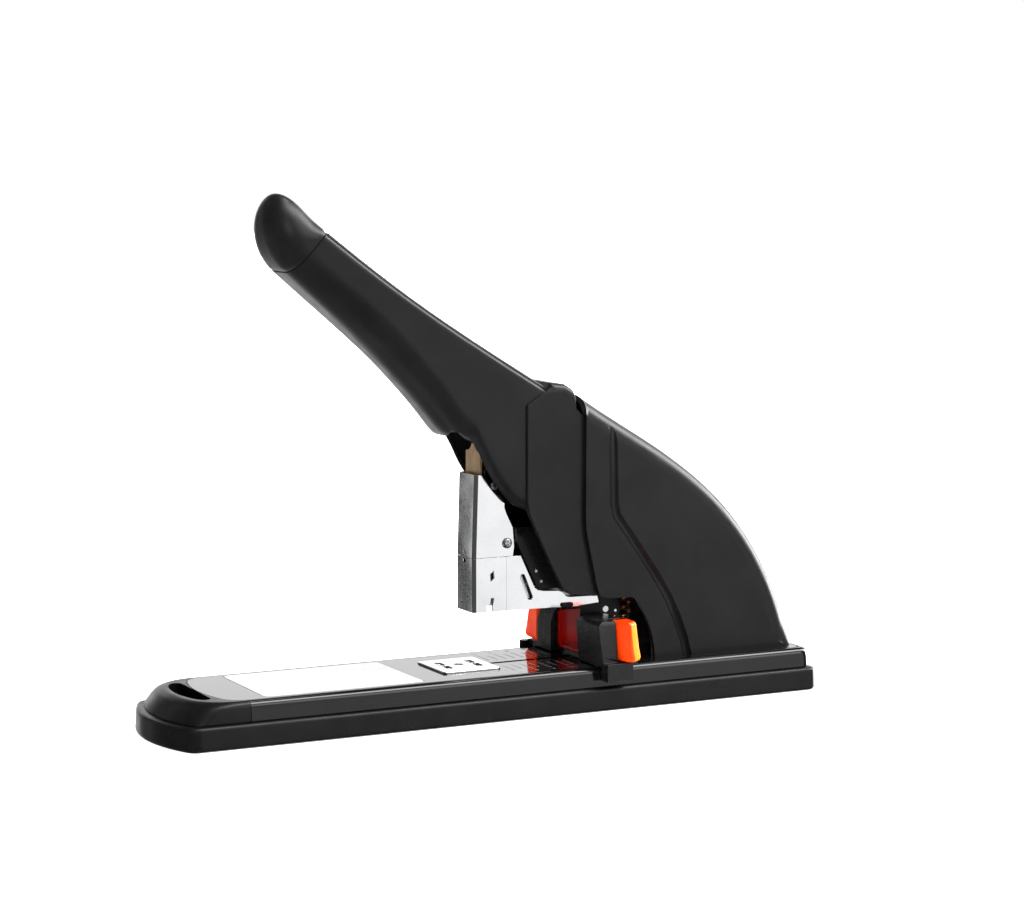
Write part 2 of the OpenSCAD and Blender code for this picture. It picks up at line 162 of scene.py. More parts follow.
def loft(name, rings, closed=True, caps=True):
    """Skin through rings of equally many points."""
    n = len(rings[0])
    verts = [p for ring in rings for p in ring]
    faces = []
    for k in range(len(rings) - 1):
        for i in range(n if closed else n - 1):
            j = (i + 1) % n
            faces.append((k * n + i, k * n + j, (k + 1) * n + j, (k + 1) * n + i))
    if caps:
        faces.append(tuple(range(n)))
        faces.append(tuple((len(rings) - 1) * n + i for i in range(n)))
    return mesh_object(name, verts, faces)


def prism(name, outline, low, high, plane="xz"):
    """An outline extruded between two values of the third axis."""
    put = {"xz": lambda a, b, c: (a, c, b), "xy": lambda a, b, c: (a, b, c),
           "yz": lambda a, b, c: (c, a, b)}[plane]
    return loft(name, [[put(a, b, low) for a, b in outline], [put(a, b, high) for a, b in outline]])


def plates(name, outline, a, b):
    """The outline as a plate on each side, between the half-widths a and b."""
    return [prism(name, outline, *sorted((side * a, side * b))) for side in (-1, 1)]


def through(outline, half=20):
    """Cutter from side to side."""
    return prism("cutter", outline, -half, half)


def pocket_cutter(low, high, gap, corner, bottom=0):
    """Cutter with round corners round the box from low to high, with a gap."""
    outline = rounded_box((low.x - gap, low.y - gap), (high.x + gap, high.y + gap), corner)
    return prism("cutter", outline, bottom, 40, "xy")


def box_cutter(low, high):
    outline = [(low[0], low[1]), (high[0], low[1]), (high[0], high[1]), (low[0], high[1])]
    return prism("cutter", outline, low[2], high[2], "xy")


def cylinder(name, centre, axis, r, length, n=40, chamfer=0.0):
    """A round bar from centre along axis, with chamfered ends."""
    axis = Vector(axis).normalized()
    u = axis.orthogonal().normalized()
    v = axis.cross(u)
    levels = [(0, r - chamfer), (chamfer, r), (length - chamfer, r), (length, r - chamfer)]
    rings = []
    for d, radius in levels if chamfer else [(0, r), (length, r)]:
        base = Vector(centre) + axis * d
        rings.append([base + (u * math.cos(a) + v * math.sin(a)) * radius
                      for a in circle(n)])
    return loft(name, rings)


def apply_modifiers(obj):
    depsgraph = bpy.context.evaluated_depsgraph_get()
    mesh = bpy.data.meshes.new_from_object(obj.evaluated_get(depsgraph))
    old = obj.data
    obj.modifiers.clear()
    obj.data = mesh
    bpy.data.meshes.remove(old)


def carve(obj, *cutters, operation="DIFFERENCE"):
    """Applies exact booleans and removes the cutters."""
    for cutter in cutters:
        mod = obj.modifiers.new("carve", "BOOLEAN")
        mod.operation = operation
        mod.solver = "EXACT"
        mod.object = cutter
    apply_modifiers(obj)
    for cutter in cutters:
        bpy.data.objects.remove(cutter)
    return obj


def soften(obj, width, segments=2, angle=32):
    """Rounds every edge sharper than the angle."""
    mod = obj.modifiers.new("soften", "BEVEL")
    mod.width = width * MM
    mod.segments = segments
    mod.limit_method = "ANGLE"
    mod.angle_limit = math.radians(angle)
    mod.use_clamp_overlap = True
    mod.miter_outer = "MITER_ARC"
    apply_modifiers(obj)
    return obj


def shade(obj, angle=35, weighted=True):
    for polygon in obj.data.polygons:
        polygon.use_smooth = True
    obj.data.set_sharp_from_angle(angle=math.radians(angle))
    if weighted:
        mod = obj.modifiers.new("normals", "WEIGHTED_NORMAL")
        mod.keep_sharp = True
        apply_modifiers(obj)
    return obj


def join(name, objects):
    """One object made of several."""
    bm = bmesh.new()
    for obj in objects:
        bm.from_mesh(obj.data)
        bpy.data.objects.remove(obj)
    mesh = bpy.data.meshes.new(name)
    bm.to_mesh(mesh)
    bm.free()
    return new_object(name, mesh)


def piece(obj, body, slot, replaces=()):
    """Gives a finished mesh the material of its slot, puts it on its body and hides the CAD nodes that it
    stands for.
    """
    obj.data.materials.clear()
    obj.data.materials.append(MATERIALS[slot])
    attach(obj, body)
    if replaces:
        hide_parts(*replaces)
    return obj


# ---- materials

class Nodes:
    """Short names for building the node tree of a material or world."""

    def __init__(self, owner):
        owner.use_nodes = True
        self.owner = owner
        self.tree = owner.node_tree
        self.tree.nodes.clear()
        self.coords = self.add("ShaderNodeTexCoord", {}).outputs

    def add(self, kind, inputs, **values):
        """A new node with its settings; an input is a value or another node's output."""
        node = self.tree.nodes.new(kind)
        for key, value in values.items():
            setattr(node, key, value)
        for key, value in inputs.items():
            if isinstance(value, bpy.types.NodeSocket):
                self.tree.links.new(value, node.inputs[key])
            else:
                node.inputs[key].default_value = value
        return node

    def noise(self, scale, detail=3.0, rough=0.55, stretch=None):
        vector = self.coords["Object"]
        if stretch:
            vector = self.add("ShaderNodeMapping", {"Scale": stretch, "Vector": vector}).outputs[0]
        inputs = {"Scale": scale, "Detail": detail, "Roughness": rough, "Vector": vector}
        return self.add("ShaderNodeTexNoise", inputs).outputs["Fac"]

    def spread(self, value, low, high, from_low=0.3, from_high=0.7, **values):
        inputs = {"Value": value, "From Min": from_low, "From Max": from_high, "To Min": low,
                  "To Max": high}
        return self.add("ShaderNodeMapRange", inputs, **values).outputs[0]

    def cloud(self, *noise):
        """A blend factor that drifts between 0 and 1."""
        return self.spread(self.noise(*noise), 0, 1)

    def calc(self, operation, a, b, **values):
        return self.add("ShaderNodeMath", {0: a, 1: b}, operation=operation, **values).outputs[0]

    def blend(self, factor, first, second):
        node = self.add("ShaderNodeMix", {"Factor": factor}, data_type="RGBA")
        for socket, colour in zip((s for s in node.inputs if s.type == "RGBA"), (first, second)):
            socket.default_value = (*colour, 1)
        return next(s for s in node.outputs if s.type == "RGBA")

    def bumps(self, *layers):
        """Chains bump nodes, each a (height, distance in metres) pair."""
        normal = {}
        for height, distance in layers:
            inputs = {"Distance": distance, "Strength": 1.0, "Height": height, **normal}
            normal = {"Normal": self.add("ShaderNodeBump", inputs).outputs[0]}
        return normal

    def surface(self, factor, colours, lines, rough, layers=(), **values):
        """The shader: a colour between two, uneven gloss, bumps and set values."""
        inputs = {key.replace("_", " "): value for key, value in values.items()}
        inputs["Base Color"] = self.blend(factor, *colours)
        inputs["Roughness"] = self.spread(lines, *rough) if lines else rough
        shader = self.add("ShaderNodeBsdfPrincipled", {**inputs, **self.bumps(*layers)})
        self.add("ShaderNodeOutputMaterial", {0: shader.outputs[0]})
        return self.owner


def new_material(name):
    return Nodes(bpy.data.materials.new(name))


def plastic(name, dark, light, rough, grain_scale, grain_depth, specular=0.5, coat=0.0,
            swell=0.00003):
    """Moulded plastic: cloudy colour, uneven gloss, a spark-eroded grain and a slight swell."""
    n = new_material(name)
    layers = [(n.noise(grain_scale, 2, 0.5), grain_depth), (n.noise(26, 1, 0.4), swell)]
    return n.surface(n.cloud(45, 4), (dark, light), n.noise(160, 5), rough, layers,
                     Specular_IOR_Level=specular, Coat_Weight=coat, Coat_Roughness=0.04)


def metal(name, dark, light, rough, wave=0.0, brush=None, brush_depth=0.0):
    """Bare or plated metal: tone changes, uneven polish, rolling waves and brush lines."""
    n = new_material(name)
    lines = n.noise(1, 3, 0.6, brush) if brush else n.noise(900, 3)
    layers = [(n.noise(38, 1, 0.4), wave)] if wave else []
    if brush_depth:
        layers.append((lines, brush_depth))
    return n.surface(n.cloud(60, 4), (dark, light), lines, rough, layers, Metallic=1.0)


def tinted_blade(name):
    """Tempered steel: straw to copper tint that fades down the blade."""
    n = new_material(name)
    lines = n.noise(1, 2, 0.5, (900, 900, 60))
    return n.surface(n.cloud(120, 3, 0.5, (1, 1, 0.25)), ((0.60, 0.38, 0.20), (0.78, 0.58, 0.38)),
                     lines, (0.26, 0.44), [(lines, 0.000012)], Metallic=0.85)


def orange_with_painted_highlight_and_glow(name, red, painted_highlight_amber):
    """Pressed orange plastic with a painted highlight: the rear facet is mixed to a lighter amber by its
    normal, and a painted glow is added.
    """
    n = new_material(name)
    # Painted highlight: facets whose normal points towards +X are mixed towards the lighter amber.
    facing = n.add("ShaderNodeSeparateXYZ", {0: n.coords["Normal"]}).outputs["X"]
    factor = n.calc("ADD", n.spread(facing, 0, 1, 0.2, 0.5), n.spread(n.noise(90, 3), 0, 0.06),
                    use_clamp=True)
    # Painted glow: a weak orange emission makes the buttons shine though they are no lamp.
    return n.surface(factor, (red, painted_highlight_amber), n.noise(160, 4), (0.18, 0.28), [(n.noise(1400, 2), 0.000003)],
                     Coat_Weight=0.1, Coat_Roughness=0.05, Specular_IOR_Level=0.3,
                     Emission_Color=(1.0, 0.06, 0.0, 1), Emission_Strength=0.3)


def label_film(name):
    n = new_material(name)
    return n.surface(n.cloud(70, 3), ((0.68, 0.68, 0.67), (0.74, 0.74, 0.73)), n.noise(500, 3),
                     (0.16, 0.26), [(n.noise(1400, 2), 0.000006)])


BLACK = ((0.0050, 0.0050, 0.0056), (0.0085, 0.0085, 0.0092))
MATERIALS = {
    "shell_black": plastic("satin_black_shell", *BLACK, (0.30, 0.40), 2600, 0.00001, 0.26),
    "grip_black": plastic("grip_black", (0.005, 0.005, 0.0055), (0.009, 0.009, 0.0095),
                          (0.34, 0.44), 3400, 0.000014, 0.26),
    "base_gloss": plastic("gloss_black_deck", (0.003, 0.003, 0.0034), (0.0055, 0.0055, 0.006),
                          (0.08, 0.13), 700, 0.000001, 0.14, coat=0.55, swell=0.000004),
    "shoe_black": plastic("satin_black_shoe", (0.004, 0.004, 0.0044), (0.0075, 0.0075, 0.008),
                          (0.26, 0.36), 2400, 0.000008, 0.2),
    "label_white": label_film("label_film"),
    "pad_rubber": plastic("pad_rubber", (0.012, 0.012, 0.012), (0.02, 0.02, 0.02),
                          (0.7, 0.85), 1500, 0.00005, 0.3),
    "screw_steel": metal("screw_steel", (0.52, 0.52, 0.53), (0.64, 0.64, 0.65), (0.22, 0.36)),
    "plate_steel": metal("plate_steel", (0.42, 0.43, 0.44), (0.56, 0.57, 0.58), (0.28, 0.44),
                         brush=(60, 900, 900), brush_depth=0.000012),
    "anvil_chrome": metal("anvil_chrome", (0.74, 0.75, 0.77), (0.84, 0.85, 0.86), (0.08, 0.16),
                          wave=0.00005),
    "pin_steel": metal("pin_steel", (0.62, 0.63, 0.64), (0.72, 0.73, 0.74), (0.16, 0.28),
                       brush=(900, 60, 900), brush_depth=0.000006),
    "ring_steel": metal("ring_steel", (0.08, 0.08, 0.085), (0.12, 0.12, 0.125), (0.4, 0.55)),
    "spring_steel": metal("spring_steel", (0.55, 0.55, 0.56), (0.66, 0.66, 0.67), (0.2, 0.3)),
    "spring_copper": metal("spring_copper", (0.62, 0.30, 0.15), (0.80, 0.47, 0.28), (0.2, 0.34)),
    "head_chrome": metal("head_chrome", (0.76, 0.77, 0.78), (0.86, 0.86, 0.87), (0.07, 0.15),
                         wave=0.0007),
    "cover_black": plastic("satin_black_hood", (0.003, 0.003, 0.0034), (0.0055, 0.0055, 0.006),
                           (0.24, 0.34), 2200, 0.000006, 0.16, swell=0.00001),
    "blade_steel": tinted_blade("blade_steel"),
    "staple_wire": metal("staple_wire", (0.62, 0.62, 0.63), (0.76, 0.76, 0.77), (0.2, 0.32),
                         brush=(1900, 40, 40), brush_depth=0.00004),
    "guide_black": plastic("gloss_black_guide", (0.006, 0.006, 0.0065), (0.01, 0.01, 0.0105),
                           (0.2, 0.3), 1600, 0.000004, 0.3, swell=0.000006),
    "guide_red": plastic("guide_red", (0.34, 0.004, 0.002), (0.48, 0.007, 0.003),
                         (0.10, 0.16), 1200, 0.000002, 0.2, swell=0.000006),
    # The buttons' orange has a painted highlight on its rear facet and a painted glow.
    "button_orange": orange_with_painted_highlight_and_glow("button_orange", (0.86, 0.035, 0.002), (1.0, 0.30, 0.012)),
}


# ---- base

def plan_ring(front, rear, half, corner_front, corner_rear, z, bow=BOW):
    """Plan outline at height z: a bowed front with rounded corners and round rear corners."""
    centre_x = front + bow
    inner = bow - corner_front
    corner_y = half - corner_front
    corner_x = centre_x - math.sqrt(inner * inner - corner_y * corner_y)
    turn = math.degrees(math.asin(corner_y / inner))
    points = [(centre_x - bow * math.cos(math.radians(turn * i / 14)),
               bow * math.sin(math.radians(turn * i / 14))) for i in range(14)]
    points += arc(corner_x, corner_y, corner_front, 180 - turn, 90, 10)
    straight = 24
    end_x = rear - corner_rear
    points += [(corner_x + (end_x - corner_x) * i / straight, half) for i in range(1, straight)]
    points += arc(end_x, half - corner_rear, corner_rear, 90, 0, 8)
    points += [(rear, (half - corner_rear) * (1 - i / 6)) for i in range(1, 6)]
    ring = [(x, y, z) for x, y in points]
    tail = [(x, -y, z) for x, y in reversed(points[1:])]
    return ring + [(rear, 0, z)] + tail


def plan_loft(name, levels, front, rear, half, corner_front, corner_rear, bow=BOW):
    """Skin through plan outlines; a level is (z, inset)."""
    return loft(name, [plan_ring(front + inset, rear - inset, half - inset,
                                 max(corner_front - inset, 0.6), max(corner_rear - inset, 0.6), z, bow)
                       for z, inset in levels])


def round_over(z_top, inset_top, radius, n=6):
    """Levels of a quarter-round edge that ends flat at z_top."""
    return [(z_top - radius + radius * math.sin(a), inset_top - radius * math.cos(a))
            for a in quarter(n)]


BOSSES = [(x, s * 22) for x in (-98, -30, 40, 132) for s in (-1, 1)]
PADS = [(x, s * 14) for x in (-112, 112) for s in (-1, 1)]


def rounded_box(low, high, corner, n=6):
    """Plan outline of a box with round corners."""
    (x0, y0), (x1, y1) = low, high
    centres = [(x1 - corner, y1 - corner), (x0 + corner, y1 - corner), (x0 + corner, y0 + corner),
               (x1 - corner, y0 + corner)]
    return [p for i, (x, y) in enumerate(centres)
            for p in arc(x, y, corner, 90 * i, 90 * (i + 1), n)]


def make_shoe():
    levels = [(0, 1.0), (0.25, 0.45), (0.8, 0.1), (1.6, 0.0), (7.9, 0.25), (8.6, 0.4),
              (9.1, 0.75), (SHOE_Z, 1.5)]
    shoe = plan_loft("base_shoe_body", levels, front=shoe_lo.x + 0.1, rear=shoe_hi.x - 0.1,
                     half=shoe_hi.y, corner_front=6, corner_rear=5)
    cavity = plan_loft("cutter", [(WALL, 0), (SHOE_Z + 2, 0)], front=shoe_lo.x + 13.4,
                       rear=shoe_hi.x - 4, half=DECK_HALF - 2, corner_front=4, corner_rear=3)
    holes = [cylinder("cutter", (x, y, -1), (0, 0, 1), 3.3, 3.4) for x, y in BOSSES]
    pockets = [prism("cutter", rounded_box((x - 11, y - 5), (x + 11, y + 5), 2), -1, 1.25, "xy")
               for x, y in PADS]
    carve(shoe, cavity, *holes, *pockets)
    piece(shade(shoe), "base", "shoe_black", ["base_shoe"])


def make_pads():
    pads = []
    for x, y in PADS:
        pads.append(prism("pad", rounded_box((x - 10.7, y - 4.7), (x + 10.7, y + 4.7), 1.8), 0, 1.2,
                          "xy"))
        for i in range(-4, 5):
            pads.append(box_cutter((x + i * 2.2 - 0.35, y - 4.0, 0.0), (x + i * 2.2 + 0.35, y + 4.0, 0.4)))
    piece(shade(join("foot_pads_rubber", pads)), "base", "pad_rubber", ["foot_pads"])


SIDE_LEVELS = [(SHOE_Z + 0.02, 0.35), (SHOE_Z + 0.3, 0.05), (SHOE_Z + 0.7, 0.0), (13.4, 0.25)]


def make_deck():
    """The glossy base cover, with the tongue that runs into the nose cap."""
    levels = SIDE_LEVELS + round_over(DECK_Z, 3.2, 2.7)
    deck = plan_loft("base_cover_deck", levels, front=NOSE_SEAM - 30, rear=deck_hi.x, half=DECK_HALF,
                     corner_front=9, corner_rear=6)
    ahead = box_cutter((shoe_lo.x - 5, -40, 0), (NOSE_SEAM + 0.12, 40, 30))
    carve(deck, ahead)
    tongue = plan_loft("tongue", [(DECK_Z - 4, 0), (DECK_Z, 0)], front=TONGUE_FRONT, rear=NOSE_SEAM + 4,
                       half=DECK_HALF - 4, corner_front=9, corner_rear=1)
    carve(deck, tongue, operation="UNION")
    hollow = plan_loft("cutter", [(SHOE_Z - 1, 0), (DECK_Z - 2, 0)], front=NOSE_SEAM + 3,
                       rear=deck_hi.x - 3, half=DECK_HALF - 3, corner_front=2, corner_rear=3, bow=900)
    pocket = pocket_cutter(anvil_lo, anvil_hi, 0.35, 1.6)
    slot = prism("cutter", rounded_box((anvil_hi.x - 1, -1.3), (67, 1.3), 1.2), 0, 40, "xy")
    recess = pocket_cutter(label_lo, label_hi, 0.25, 2.2, label_lo.z)
    outer = plan_loft("cutter", [(DECK_Z - 0.45, 0), (DECK_Z + 3, 0)], front=NOSE_SEAM - 40,
                      rear=deck_hi.x - 3.4, half=DECK_HALF - 3.4, corner_front=3, corner_rear=4)
    inner = plan_loft("cutter", [(0, 0), (DECK_Z + 9, 0)], front=NOSE_SEAM - 40,
                      rear=deck_hi.x - 3.95, half=DECK_HALF - 3.95, corner_front=3, corner_rear=4)
    carve(outer, inner, box_cutter((shoe_lo.x - 60, -40, 0), (NOSE_SEAM + 0.12, 40, 40)))
    carve(deck, hollow, pocket, slot, recess, outer)
    shade(deck, 30)
    piece(deck, "base", "base_gloss", ["base_cover"])


def make_nose():
    """Sloping nose: a wide, tight-cornered foot under a smaller, rounder top."""
    foot_x, top_x = nose_lo.x + 0.5, nose_lo.x + 5.4
    rings = []
    for z, inset in SIDE_LEVELS + round_over(DECK_Z, 3.2, 2.7):
        rise = (z - SHOE_Z) / (DECK_Z - SHOE_Z)
        rings.append(plan_ring(foot_x + (top_x - foot_x) * rise + inset, NOSE_SEAM + 40,
                               DECK_HALF - inset, 5 + 12 * rise, 6, z))
    nose = loft("nose_cap_body", rings)
    behind = box_cutter((NOSE_SEAM - 0.12, -40, 0), (NOSE_SEAM + 90, 40, 30))
    tongue = plan_loft("cutter", [(SHOE_Z - 3, 0), (DECK_Z + 3, 0)], front=TONGUE_FRONT - 0.35,
                       rear=NOSE_SEAM + 4, half=DECK_HALF - 3.65, corner_front=9.3, corner_rear=1)
    front = top_x + 4.1
    slot_bow = 44.0
    turn = math.degrees(math.asin(15.6 / slot_bow))
    crescent = [(front + slot_bow - slot_bow * math.cos(math.radians(a)),
                 slot_bow * math.sin(math.radians(a)))
                for a in (turn * (i / 12 * 2 - 1) for i in range(13))]
    crescent += arc(front + 6.0, 15.6, 2.6, 120, 0, 6) + arc(front + 6.0, -15.6, 2.6, 0, -120, 6)
    opening = prism("cutter", crescent, 0, 40, "xy")
    carve(nose, behind, tongue, opening)
    soften(nose, 0.35, 3, 40)
    piece(shade(nose), "base", "shoe_black", ["nose_cap"])


def make_label():
    outline = rounded_box((label_lo.x, label_lo.y), (label_hi.x, label_hi.y), 2)
    film = prism("label_film_plate", outline, label_lo.z + 0.02, label_hi.z - 0.02, "xy")
    piece(shade(soften(film, 0.08, 2)), "base", "label_white", ["label_plate"])


def make_anvil():
    outline = rounded_box((anvil_lo.x, anvil_lo.y), (anvil_hi.x, anvil_hi.y), 1.3)
    plate = prism("anvil_plate_body", outline, anvil_lo.z, anvil_hi.z, "xy")
    middle = (anvil_lo.x + anvil_hi.x) / 2
    soften(plate, 0.35, 3)
    cutters = []
    for groove_x in (-6.7, 6.7):
        for side in (-1, 1):
            cutters.append(cylinder("cutter", (middle + groove_x - 1.5, side * 3.6, anvil_hi.z + 2.8),
                                    (1, 0, 0), 4, 3, 48))
        cutters.append(box_cutter((middle + groove_x - 0.3, -7.6, anvil_hi.z - 0.35),
                                  (middle + groove_x + 0.3, 7.6, anvil_hi.z + 2)))
    cutters.append(cylinder("cutter", (middle, 0, anvil_hi.z - 0.6), (0, 0, 1), 2.0, 3, 32))
    carve(plate, *cutters)
    piece(shade(plate, 28), "base", "anvil_chrome", ["anvil_plate"])


def make_scale():
    """Depth marks beside the slot: long ticks, short ticks and dots."""
    marks = []
    low, high = DECK_Z - 0.1, DECK_Z + 0.05
    for i in range(8):
        x = 7.2 + i * 3.9
        for side in (-1, 1):
            a, b = sorted((side * 6.2, side * (15.5 if i % 2 else 18)))
            marks.append(box_cutter((x - 0.3, a, low), (x + 0.3, b, high)))
            if i % 2 == 0:
                marks.append(cylinder("dot", (x, side * 21.2, low), (0, 0, 1), 0.85, high - low, 20))
    piece(shade(join("depth_scale_marks", marks)), "base", "plate_steel")


# ---- rear cover

DOME = [(38.5, 125.3), (71.9, 102), (121.3, 86.4), (138, 17.5)]
DOME_EDGE = [(38.4, 117.3), (38.2, 73), (44.2, 45.1), (48.4, 43.7), (60.8, 43.3), (62.1, 41.6),
             (66.2, 34.6), (68.5, 28.9), (69.9, 23), (70.4, 17.5), (134, 17.5)]
DOME_GROOVE = [(49.8, 119.5), (50.6, 112.4), (51.3, 82), (52.4, 77), (60.5, 65.9), (69.6, 53.2), (76.5, 42),
               (81, 32.4), (84, 24), (86.4, 15)]
DOME_LIFT = 0.7


def ribbon(line, half_width):
    """Outline of a band that follows a line at half_width on either side."""
    line = [Vector(p) for p in line]
    left, right = [], []
    for i, p in enumerate(line):
        ahead = (line[min(i + 1, len(line) - 1)] - line[max(i - 1, 0)]).normalized()
        across = Vector((-ahead.y, ahead.x)) * half_width
        left.append(tuple(p + across))
        right.append(tuple(p - across))
    return left + right[::-1]


def make_dome():
    """A moulded shell: flat sides, a soft roof edge and a groove down each side."""
    stations, side_steps, edge = 90, 10, 8.5
    half = DOME_HALF - 0.25
    rings = []
    for k in range(stations + 1):
        t = k / stations
        top = cubic(DOME, t)
        slope = (cubic(DOME, min(t + 0.004, 1)) - cubic(DOME, max(t - 0.004, 0))).normalized()
        foot = along(DOME_EDGE, ramp(t, [(0, 0), (0.14, 0.40), (0.34, 0.647), (1, 1)]))
        down = foot - top
        height = down.length
        down.normalize()
        top = top - down * DOME_LIFT
        height += DOME_LIFT
        skew = max(down.dot(Vector((slope.y, -slope.x))), 0.45)
        reach = min(edge / skew, height * 0.8)
        ring = []
        for i in range(7):
            y = (half - edge) * i / 6
            point = top + down * (0.5 * (y / half) ** 2)
            ring.append((point.x, y, point.y))
        for a in quarter(10, 1):
            point = top + down * (0.4 + reach * (1 - math.cos(a)) * 0.96)
            ring.append((point.x, half - edge + edge * math.sin(a), point.y))
        start = 0.4 + reach * 0.96
        for i in range(1, side_steps + 1):
            point = top + down * (start + (height - start) * i / side_steps)
            ring.append((point.x, half + 0.25 * (1 - point.y / DOME[0][1]), point.y))
        rings.append([(x, -y, z) for x, y, z in reversed(ring[1:])] + ring)
    dome = loft("rear_cover_shell", rings, closed=False, caps=False)
    mod = dome.modifiers.new("wall", "SOLIDIFY")
    mod.thickness = 1.9 * MM
    mod.offset = -1
    apply_modifiers(dome)
    edit(dome.data, lambda bm: None)
    for side in (-1, 1):
        levels = [(half - 0.95, 0.75), (half - 0.75, 1.15), (half + 0.9, 2.7)]
        carve(dome, loft("cutter", [[(x, side * y, z) for x, z in ribbon(DOME_GROOVE, w)]
                                    for y, w in levels]))
    piece(shade(dome, 40, False), "base", "shell_black", ["rear_cover"])


# ---- handle

HANDLE_TOP = [(-71.5, 193.1), (-45, 173), (-34, 164), (20.5, 131.2)]
HANDLE_UNDER = [(-85.5, 177.4), (-60.8, 155.6), (-41.8, 140.5), (-18.6, 112)]
LOWER_EDGE = [(-18.6, 112), (-15.6, 110.5), (-9.4, 108.8), (-7, 105.4), (-3.5, 98.2), (0.5, 92),
              (4, 87.6), (8, 83.4), (16, 80)]
TIP_TOP = [(-71.5, 193.1), (-77, 198.2), (-82.0, 206.9), (-87.4, 206.9)]
TIP_END = [(-87.4, 206.9), (-95, 206.2), (-97.2, 188.5), (-85.5, 177.4)]
INLAY_HALF = 12.85
RIM_DROP = 1.3
HANDLE_LIFT = 0.8


def section(top, foot, half, r_top, r_foot, inset=0.0, crown=0.9, recess=None):
    """Closed ring in the plane through top and foot: a rounded box with a crowned top.
    recess is (half-width, depth) of the bed for the inlay."""
    top, foot = Vector(top), Vector(foot)
    down = (foot - top).normalized()
    top = top - down * HANDLE_LIFT
    height = (foot - top).length
    half -= inset
    low, high = inset, height - inset
    limit = min(half, (high - low) / 2) * 0.98
    r_top, r_foot = min(max(r_top - inset, 0.4), limit), min(max(r_foot - inset, 0.4), limit)
    flat = half - r_top

    def rise(y):
        return low + crown * (y / half) ** 2

    points = []
    if recess:
        bed, depth = recess
        bed = min(bed, flat * 0.97)
        points += [(bed * i / 5, rise(bed * i / 5) + depth) for i in range(6)]
        points += [(bed + 0.05, rise(bed) + RIM_DROP + 0.3), (bed + 0.12, rise(bed) + RIM_DROP)]
        points += [(bed + 0.12 + (flat - bed - 0.12) * i / 2, rise(flat) + RIM_DROP) for i in (1, 2)]
    else:
        points += [(flat * i / 9, rise(flat * i / 9)) for i in range(10)]
    shoulder = rise(flat) + (RIM_DROP if recess else 0)
    points += [(flat + r_top * math.sin(a), shoulder + r_top * (1 - math.cos(a)))
               for a in quarter(8, 1)]
    a_end, b_end = shoulder + r_top, high - r_foot
    points += [(half, a_end + (b_end - a_end) * i / 12) for i in range(1, 13)]
    points += [(half - r_foot * (1 - math.cos(a)), high - r_foot + r_foot * math.sin(a))
               for a in quarter(8, 1)]
    points += [((half - r_foot) * (1 - i / 4), high) for i in (1, 2, 3, 4)]
    ring = [(top.x + down.x * s, y, top.y + down.y * s) for y, s in points]
    return ring + [(x, -y, z) for x, y, z in reversed(ring[1:-1])]


def shell_stations(count=64):
    """(top, foot, share) pairs from the cap seam to under the collar."""
    stations = []
    for k in range(count + 1):
        t = k / count
        if t <= 0.62:
            u = t / 0.62
            top_t = 0.74 * u
            foot = cubic(HANDLE_UNDER, u)
        else:
            u = (t - 0.62) / 0.38
            top_t = 0.74 + 0.29 * u
            foot = along(LOWER_EDGE, u)
        stations.append((cubic(HANDLE_TOP, top_t), foot, t))
    return stations


def make_shell():
    def wall(top, foot, r_foot=14.5, inset=0.0):
        return section(top, foot, HANDLE_HALF - 0.2, 2.4, r_foot, inset, recess=(INLAY_HALF + 0.45, 2.4))

    rings, hollow = [], []
    stations = shell_stations()
    for top, foot, t in stations:
        r_foot = ramp(t, [(0, 14.5), (0.55, 14.2), (0.63, 12.5), (0.72, 6), (1, 4)])
        rings.append(wall(top, foot, r_foot))
        down = (foot - top).normalized()
        hollow.append((top + down * (WALL + 2.2), foot - down * WALL, r_foot - WALL))
    first, second = stations[0], stations[1]
    nudge = (first[0] - second[0]).normalized() * 0.3
    rings[0] = wall(first[0] + nudge * 0.2, first[1] + nudge * 0.2, inset=0.45)
    rings.insert(1, wall(first[0] - nudge, first[1] - nudge))
    shell = loft("handle_shell_body", rings)
    start = (hollow[0][0] + nudge * 20, hollow[0][1] + nudge * 20, 12)
    beyond = (hollow[-1][0] + Vector((8, -5)), hollow[-1][1] + Vector((14, -4)), 2)
    cavity = loft("cutter", [section(a, b, HANDLE_HALF - WALL, 3, max(r, 1), crown=0.5)
                             for a, b, r in [start] + hollow + [beyond]])
    mouth = through([(-17.6, 60), (-17.6, 113.6), (-9, 112.6), (-3, 103), (5, 93.5), (12, 88), (30, 86),
                     (30, 60)], 12.4)
    carve(shell, cavity, mouth)
    piece(shade(shell, 38, False), "handle", "shell_black", ["handle_shell"])


def make_inlay():
    """Soft strip with rounded edges that lies in the bed along the top of the handle."""
    rings = []
    for top, foot, t in shell_stations():
        down = (foot - top).normalized()
        top = top - down * HANDLE_LIFT
        edge = [(INLAY_HALF - 1.1 + 1.1 * math.sin(a), 1.1 - 1.1 * math.cos(a))
                for a in quarter(6)]
        half_line = [((INLAY_HALF - 1.1) * i / 9, 0) for i in range(9)] + edge
        line = [(y, 0.9 * (y / HANDLE_HALF) ** 2 + drop - 0.05) for y, drop in half_line]
        line.append((INLAY_HALF, 2.9))
        ring = [(-y, s) for y, s in reversed(line[1:])] + line
        rings.append([(top.x + down.x * s, y, top.y + down.y * s) for y, s in ring])
    strip = loft("handle_inlay_strip", rings[1:])
    piece(shade(strip, 40, False), "handle", "grip_black", ["handle_inlay"])


